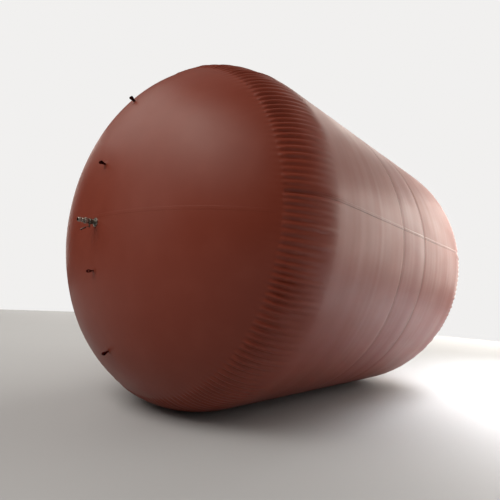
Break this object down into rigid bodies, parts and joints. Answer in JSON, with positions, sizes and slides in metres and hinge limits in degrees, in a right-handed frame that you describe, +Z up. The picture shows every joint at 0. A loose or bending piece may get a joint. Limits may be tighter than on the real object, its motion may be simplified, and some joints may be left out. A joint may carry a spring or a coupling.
{
  "type": "biogas storage bag",
  "caption": "Inflated cylindrical gas storage bag of welded membrane panels with domed ends, webbing pull tabs and a quarter-turn valve with a hose tail.",
  "frame": {"origin": "on the ground, under the middle of the bag, at its contact strip", "axes": "+Z up, X along the bag's axis with the valve end at -X, Y across the bag"},
  "size_m": [9.1204, 5.9066, 5.8655],
  "materials": {
    "membrane": "satin red-brown PVC-coated polyester membrane",
    "welded_lap": "same membrane, doubled at a welded lap",
    "webbing": "dark maroon woven webbing",
    "valve_steel": "cast stainless steel, slightly dull",
    "bright_steel": "bright turned steel",
    "grip": "dark red dipped vinyl"
  },
  "bodies": {
    "bag": {"near_cap_upper": "membrane", "near_cap_lower": "membrane", "front_hoop_upper": "membrane", "front_hoop_lower": "membrane", "middle_hoop_upper": "membrane", "middle_hoop_lower": "membrane", "rear_hoop_upper": "membrane", "rear_hoop_lower": "membrane", "far_cap_upper": "membrane", "far_cap_lower": "membrane", "near_cap_lap": "welded_lap", "front_hoop_lap": "welded_lap", "rear_hoop_lap": "welded_lap", "far_cap_lap": "welded_lap", "front_hoop_side_lap_left": "welded_lap", "middle_hoop_side_lap_left": "welded_lap", "rear_hoop_side_lap_left": "welded_lap", "front_hoop_side_lap_right": "welded_lap", "middle_hoop_side_lap_right": "welded_lap", "rear_hoop_side_lap_right": "welded_lap", "near_cap_cross_lap": "welded_lap", "far_cap_cross_lap": "welded_lap", "near_tab_upper_inner": "webbing", "near_tab_upper_outer": "webbing", "near_tab_lower_inner": "webbing", "near_tab_lower_outer": "webbing", "far_tab_upper_inner": "webbing", "far_tab_upper_outer": "webbing", "far_tab_lower_inner": "webbing", "far_tab_lower_outer": "webbing", "port_flange": "bright_steel", "port_nipple": "valve_steel", "valve_body": "valve_steel", "union_nut": "bright_steel", "hose_tail": "bright_steel", "gland_nut": "bright_steel"},
    "lever": {"valve_ball": "bright_steel", "valve_stem": "valve_steel", "lever_blade": "valve_steel", "lever_grip": "grip", "lever_nut": "bright_steel"}
  },
  "joints": [
    {"name": "valve_lever", "type": "hinge", "parent": "bag", "child": "lever", "pos_m": [-4.49, 0, 2.82098], "axis": [0, 0, 1], "range_deg": [0, 90]}
  ]
}
